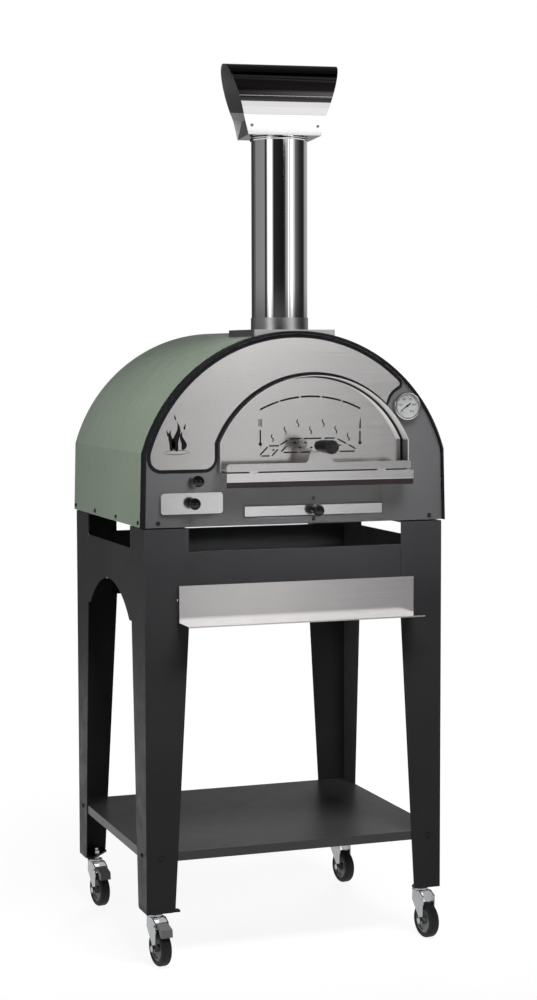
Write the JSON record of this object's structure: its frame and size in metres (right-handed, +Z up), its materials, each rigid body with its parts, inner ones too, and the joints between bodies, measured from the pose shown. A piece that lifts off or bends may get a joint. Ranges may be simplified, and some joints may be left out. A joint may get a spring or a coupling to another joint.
{
  "type": "wood fired pizza oven",
  "caption": "Wood-fired pizza oven with an arched body, flue and turning cowl, pull-out door and drawers, on a wheeled sheet-steel stand with a shelf.",
  "frame": {"origin": "centre of the footprint, on the floor", "axes": "+X to the right seen from the front, +Y to the back, +Z up"},
  "size_m": [0.716, 0.7172, 1.978],
  "materials": {
    "stand_paint": "satin anthracite powder coat",
    "front_paint": "satin anthracite powder coat",
    "shell_paint": "satin sage green powder coat",
    "trim_black": "semi-gloss black",
    "black_screw": "black oxide",
    "brushed_stainless": "brushed stainless steel",
    "chamber_steel": "heat-tinted stainless steel",
    "mirror_stainless": "mirror-polished stainless steel",
    "zinc": "bright zinc plate",
    "wheel_hub": "grey nylon",
    "wheel_tread": "black rubber",
    "pedal_grey": "dark grey nylon",
    "knob_black": "glossy black phenolic",
    "grip_black": "matt black phenolic",
    "core_black": "matt heat-resistant black",
    "cast_grate": "raw cast iron",
    "fireclay": "pale fireclay",
    "ceramic_fibre": "white ceramic fibre blanket",
    "gauge_steel": "polished steel",
    "dial_white": "white enamel",
    "needle_black": "black paint",
    "lens_glass": "clear glass"
  },
  "bodies": {
    "oven": {"side_frame_left": "stand_paint", "side_frame_right": "stand_paint", "aprons": "stand_paint", "lower_shelf": "stand_paint", "corner_plates": "stand_paint", "front_panel": "front_paint", "rear_panel": "front_paint", "base_pan": "front_paint", "shell": "shell_paint", "front_rim": "trim_black", "frame_screws": "black_screw", "panel_screws": "black_screw", "utensil_ledge": "brushed_stainless", "facade_plate": "brushed_stainless", "mouth_collar": "brushed_stainless", "landing_sill": "brushed_stainless", "vault": "chamber_steel", "hearth_frame": "chamber_steel", "drawer_runners": "chamber_steel", "flue_pipe": "mirror_stainless", "flue_base": "mirror_stainless", "caster_stems": "zinc", "fire_grate": "cast_grate", "hearth_tiles": "fireclay", "insulation": "ceramic_fibre", "gauge_case": "gauge_steel", "gauge_dial": "dial_white", "gauge_lens": "lens_glass"},
    "fork_front_left": {"fork_front_left": "zinc", "axle_front_left": "zinc"},
    "wheel_front_left": {"hub_front_left": "wheel_hub", "tyre_front_left": "wheel_tread"},
    "fork_front_right": {"fork_front_right": "zinc", "axle_front_right": "zinc"},
    "wheel_front_right": {"hub_front_right": "wheel_hub", "tyre_front_right": "wheel_tread"},
    "fork_rear_left": {"fork_rear_left": "zinc", "axle_rear_left": "zinc"},
    "wheel_rear_left": {"hub_rear_left": "wheel_hub", "tyre_rear_left": "wheel_tread"},
    "fork_rear_right": {"fork_rear_right": "zinc", "axle_rear_right": "zinc"},
    "wheel_rear_right": {"hub_rear_right": "wheel_hub", "tyre_rear_right": "wheel_tread"},
    "pedal_front_left": {"brake_pedal_front_left": "pedal_grey"},
    "pedal_rear_left": {"brake_pedal_rear_left": "pedal_grey"},
    "door": {"door_panel": "brushed_stainless", "door_core": "core_black", "door_grip": "grip_black", "grip_bolt": "brushed_stainless"},
    "ember_drawer": {"ember_drawer": "brushed_stainless", "ember_knob": "knob_black"},
    "ash_drawer": {"ash_drawer": "brushed_stainless", "ash_knob": "knob_black"},
    "ash_gate": {"ash_gate": "cast_grate", "gate_knob": "knob_black"},
    "needle": {"gauge_needle": "needle_black"},
    "cowl": {"cowl_tray": "mirror_stainless", "cowl_sheet": "mirror_stainless", "cowl_screws": "mirror_stainless"}
  },
  "joints": [
    {"name": "swivel_front_left", "type": "hinge", "parent": "oven", "child": "fork_front_left", "pos_m": [-0.319, -0.1966, 0.106], "axis": [0, 0, 1], "continuous": true},
    {"name": "spin_front_left", "type": "hinge", "parent": "fork_front_left", "child": "wheel_front_left", "pos_m": [-0.31566, -0.22037, 0.04], "axis": [0.9903, 0.1392, 0], "continuous": true},
    {"name": "swivel_front_right", "type": "hinge", "parent": "oven", "child": "fork_front_right", "pos_m": [0.319, -0.1966, 0.106], "axis": [0, 0, 1], "continuous": true},
    {"name": "spin_front_right", "type": "hinge", "parent": "fork_front_right", "child": "wheel_front_right", "pos_m": [0.32234, -0.22037, 0.04], "axis": [0.9903, 0.1392, 0], "continuous": true},
    {"name": "swivel_rear_left", "type": "hinge", "parent": "oven", "child": "fork_rear_left", "pos_m": [-0.319, 0.3174, 0.106], "axis": [0, 0, 1], "continuous": true},
    {"name": "spin_rear_left", "type": "hinge", "parent": "fork_rear_left", "child": "wheel_rear_left", "pos_m": [-0.31566, 0.29363, 0.04], "axis": [0.9903, 0.1392, 0], "continuous": true},
    {"name": "swivel_rear_right", "type": "hinge", "parent": "oven", "child": "fork_rear_right", "pos_m": [0.319, 0.3174, 0.106], "axis": [0, 0, 1], "continuous": true},
    {"name": "spin_rear_right", "type": "hinge", "parent": "fork_rear_right", "child": "wheel_rear_right", "pos_m": [0.32234, 0.29363, 0.04], "axis": [0.9903, 0.1392, 0], "continuous": true},
    {"name": "pedal_front_left", "type": "hinge", "parent": "fork_front_left", "child": "pedal_front_left", "pos_m": [-0.31496, -0.22532, 0.091], "axis": [0.9903, 0.1392, 0], "range_deg": [0, 5]},
    {"name": "pedal_rear_left", "type": "hinge", "parent": "fork_rear_left", "child": "pedal_rear_left", "pos_m": [-0.31496, 0.28868, 0.091], "axis": [0.9903, 0.1392, 0], "range_deg": [0, 5]},
    {"name": "door_slide", "type": "slide", "parent": "oven", "child": "door", "axis": [0, -1, 0], "range_m": [0, 0.25]},
    {"name": "ember_slide", "type": "slide", "parent": "oven", "child": "ember_drawer", "axis": [0, -1, 0], "range_m": [0, 0.4]},
    {"name": "ash_slide", "type": "slide", "parent": "oven", "child": "ash_drawer", "axis": [0, -1, 0], "range_m": [0, 0.4]},
    {"name": "gate_slide", "type": "slide", "parent": "oven", "child": "ash_gate", "axis": [0, -1, 0], "range_m": [-0.035, 0.025]},
    {"name": "needle_turn", "type": "hinge", "parent": "oven", "child": "needle", "pos_m": [0.26003, -0.2496, 1.222], "axis": [0, 1, 0], "range_deg": [-10, 250]},
    {"name": "cowl_turn", "type": "hinge", "parent": "oven", "child": "cowl", "pos_m": [0, -0.1246, 1.818], "axis": [0, 0, 1], "continuous": true}
  ]
}
